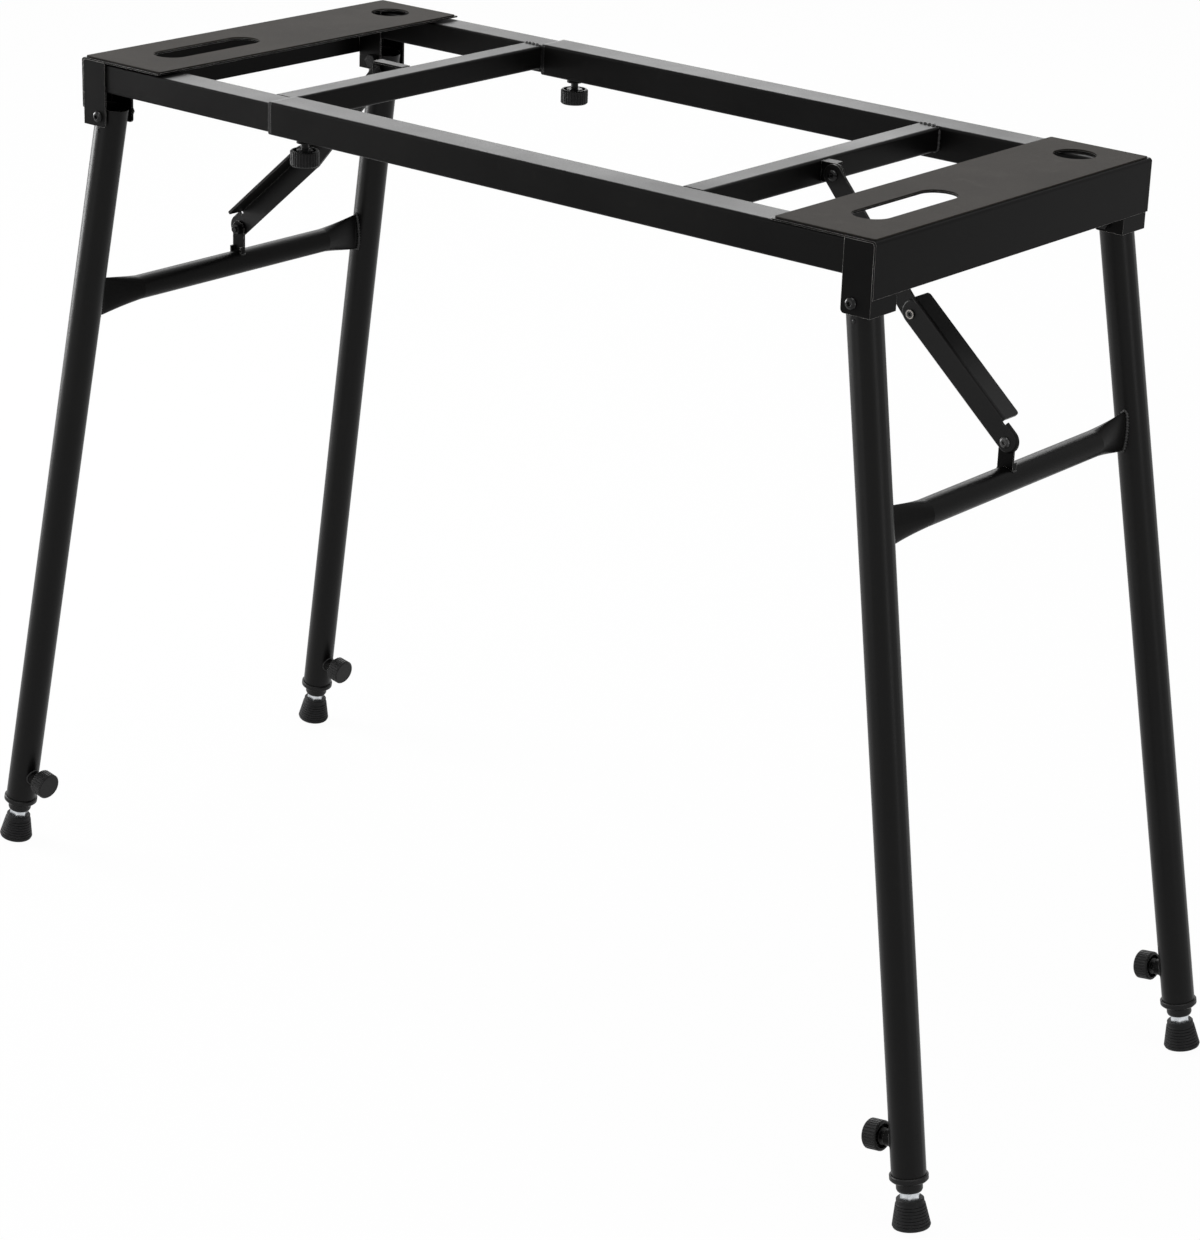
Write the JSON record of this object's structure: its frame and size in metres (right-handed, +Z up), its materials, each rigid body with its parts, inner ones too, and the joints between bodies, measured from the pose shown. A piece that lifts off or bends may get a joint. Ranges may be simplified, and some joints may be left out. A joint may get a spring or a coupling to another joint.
{
  "type": "keyboard stand",
  "caption": "Black steel table-top keyboard stand whose frame widens on telescoping rails, with folding braced leg frames, telescoping legs, clamping knobs and levelling rubber feet.",
  "frame": {"origin": "on the floor under the middle of the stand, legs open, frame and legs pushed in", "axes": "+Z up, +X along the rails towards the fixed right frame, +Y from the front rail to the back rail"},
  "size_m": [0.981, 0.3988, 0.7028],
  "materials": {
    "black_coat": "satin black powder coat",
    "mat_rubber": "fine grained mat",
    "foot_rubber": "moulded rubber",
    "black_plastic": "moulded, fine texture",
    "zinc_steel": "zinc plated",
    "worn_steel": "blackened, worn bright on the rim",
    "black_steel": "black oxide, semi gloss"
  },
  "bodies": {
    "right_frame": {"right_front_rail": "black_coat", "right_back_rail": "black_coat", "right_cross_member": "black_coat", "right_end_plate": "black_coat", "right_mat": "mat_rubber", "right_corner_brackets": "black_coat", "rail_end_bushings": "black_plastic", "rail_clamp_bosses": "black_coat", "right_brace_anchor": "black_coat", "right_frame_bolts": "black_steel"},
    "left_frame": {"left_front_rail": "black_coat", "left_back_rail": "black_coat", "left_cross_member": "black_coat", "left_end_plate": "black_coat", "left_mat": "mat_rubber", "left_corner_brackets": "black_coat", "left_brace_anchor": "black_coat", "left_frame_bolts": "black_steel"},
    "right_leg_frame": {"right_front_leg_tube": "black_coat", "right_back_leg_tube": "black_coat", "right_crossbar": "black_coat", "right_crossbar_saddle": "black_coat", "right_saddle_stud": "black_steel", "right_leg_collars": "black_plastic", "right_leg_clamp_bosses": "black_coat"},
    "right_upper_brace": {"right_upper_link": "black_coat"},
    "right_lower_brace": {"right_lower_link": "black_coat", "right_lower_link_pins": "worn_steel"},
    "left_leg_frame": {"left_front_leg_tube": "black_coat", "left_back_leg_tube": "black_coat", "left_crossbar": "black_coat", "left_crossbar_saddle": "black_coat", "left_saddle_stud": "black_steel", "left_leg_collars": "black_plastic", "left_leg_clamp_bosses": "black_coat"},
    "left_upper_brace": {"left_upper_link": "black_coat"},
    "left_lower_brace": {"left_lower_link": "black_coat", "left_lower_link_pins": "worn_steel"},
    "right_front_leg_extension": {"right_front_inner_leg": "black_coat", "right_front_leg_plug": "black_plastic"},
    "right_front_foot": {"right_front_foot_pad": "foot_rubber", "right_front_foot_screw": "zinc_steel"},
    "right_front_leg_clamp": {"right_front_leg_knob": "black_plastic"},
    "right_back_leg_extension": {"right_back_inner_leg": "black_coat", "right_back_leg_plug": "black_plastic"},
    "right_back_foot": {"right_back_foot_pad": "foot_rubber", "right_back_foot_screw": "zinc_steel"},
    "right_back_leg_clamp": {"right_back_leg_knob": "black_plastic"},
    "left_front_leg_extension": {"left_front_inner_leg": "black_coat", "left_front_leg_plug": "black_plastic"},
    "left_front_foot": {"left_front_foot_pad": "foot_rubber", "left_front_foot_screw": "zinc_steel"},
    "left_front_leg_clamp": {"left_front_leg_knob": "black_plastic"},
    "left_back_leg_extension": {"left_back_inner_leg": "black_coat", "left_back_leg_plug": "black_plastic"},
    "left_back_foot": {"left_back_foot_pad": "foot_rubber", "left_back_foot_screw": "zinc_steel"},
    "left_back_leg_clamp": {"left_back_leg_knob": "black_plastic"},
    "front_rail_clamp": {"front_rail_knob": "black_plastic"},
    "back_rail_clamp": {"back_rail_knob": "black_plastic"}
  },
  "joints": [
    {"name": "frame_width_slide", "type": "slide", "parent": "right_frame", "child": "left_frame", "axis": [-1, 0, 0], "range_m": [0, 0.36]},
    {"name": "right_leg_fold", "type": "hinge", "parent": "right_frame", "child": "right_leg_frame", "pos_m": [0.3668, 0, 0.6566], "axis": [0, 1, 0], "range_deg": [0, 97]},
    {"name": "right_upper_brace_hinge", "type": "hinge", "parent": "right_frame", "child": "right_upper_brace", "pos_m": [0.2293, 0, 0.6906], "axis": [0, -1, 0], "range_deg": [0, 46.55]},
    {"name": "right_knee_hinge", "type": "hinge", "parent": "right_upper_brace", "child": "right_lower_brace", "pos_m": [0.30579, 0, 0.60386], "axis": [0, 1, 0], "range_deg": [0, 165.73]},
    {"name": "left_leg_fold", "type": "hinge", "parent": "left_frame", "child": "left_leg_frame", "pos_m": [-0.3668, 0, 0.6566], "axis": [0, -1, 0], "range_deg": [0, 90]},
    {"name": "left_upper_brace_hinge", "type": "hinge", "parent": "left_frame", "child": "left_upper_brace", "pos_m": [-0.2293, 0, 0.6906], "axis": [0, 1, 0], "range_deg": [0, 42.33]},
    {"name": "left_knee_hinge", "type": "hinge", "parent": "left_upper_brace", "child": "left_lower_brace", "pos_m": [-0.30579, 0, 0.60386], "axis": [0, -1, 0], "range_deg": [0, 157.58]},
    {"name": "right_front_leg_slide", "type": "slide", "parent": "right_leg_frame", "child": "right_front_leg_extension", "axis": [0.1659, -0.0419, -0.9853], "range_m": [0, 0.3]},
    {"name": "right_front_foot_level", "type": "slide", "parent": "right_front_leg_extension", "child": "right_front_foot", "axis": [0.1659, -0.0419, -0.9853], "range_m": [0, 0.008]},
    {"name": "right_front_leg_knob_turn", "type": "hinge", "parent": "right_leg_frame", "child": "right_front_leg_clamp", "pos_m": [0.46634, -0.18282, 0.0655], "axis": [-0.9861, -0.0035, -0.1659], "range_deg": [0, 720]},
    {"name": "right_back_leg_slide", "type": "slide", "parent": "right_leg_frame", "child": "right_back_leg_extension", "axis": [0.1659, 0.0419, -0.9853], "range_m": [0, 0.3]},
    {"name": "right_back_foot_level", "type": "slide", "parent": "right_back_leg_extension", "child": "right_back_foot", "axis": [0.1659, 0.0419, -0.9853], "range_m": [0, 0.008]},
    {"name": "right_back_leg_knob_turn", "type": "hinge", "parent": "right_leg_frame", "child": "right_back_leg_clamp", "pos_m": [0.46634, 0.18282, 0.0655], "axis": [-0.9861, 0.0035, -0.1659], "range_deg": [0, 720]},
    {"name": "left_front_leg_slide", "type": "slide", "parent": "left_leg_frame", "child": "left_front_leg_extension", "axis": [-0.1659, -0.0419, -0.9853], "range_m": [0, 0.3]},
    {"name": "left_front_foot_level", "type": "slide", "parent": "left_front_leg_extension", "child": "left_front_foot", "axis": [-0.1659, -0.0419, -0.9853], "range_m": [0, 0.008]},
    {"name": "left_front_leg_knob_turn", "type": "hinge", "parent": "left_leg_frame", "child": "left_front_leg_clamp", "pos_m": [-0.46634, -0.18282, 0.0655], "axis": [0.9861, -0.0035, -0.1659], "range_deg": [0, 720]},
    {"name": "left_back_leg_slide", "type": "slide", "parent": "left_leg_frame", "child": "left_back_leg_extension", "axis": [-0.1659, 0.0419, -0.9853], "range_m": [0, 0.3]},
    {"name": "left_back_foot_level", "type": "slide", "parent": "left_back_leg_extension", "child": "left_back_foot", "axis": [-0.1659, 0.0419, -0.9853], "range_m": [0, 0.008]},
    {"name": "left_back_leg_knob_turn", "type": "hinge", "parent": "left_leg_frame", "child": "left_back_leg_clamp", "pos_m": [-0.46634, 0.18282, 0.0655], "axis": [0.9861, 0.0035, -0.1659], "range_deg": [0, 720]},
    {"name": "front_rail_knob_turn", "type": "hinge", "parent": "right_frame", "child": "front_rail_clamp", "pos_m": [-0.1538, -0.1577, 0.66], "axis": [0, 0, -1], "range_deg": [0, 720]},
    {"name": "back_rail_knob_turn", "type": "hinge", "parent": "right_frame", "child": "back_rail_clamp", "pos_m": [-0.1538, 0.1577, 0.66], "axis": [0, 0, -1], "range_deg": [0, 720]}
  ],
  "couplings": [
    {"joint": "right_upper_brace_hinge", "follows": "right_leg_fold", "ratio": 0.47475},
    {"joint": "right_knee_hinge", "follows": "right_leg_fold", "ratio": 1.7034},
    {"joint": "left_upper_brace_hinge", "follows": "left_leg_fold", "ratio": 0.46475},
    {"joint": "left_knee_hinge", "follows": "left_leg_fold", "ratio": 1.7453}
  ]
}
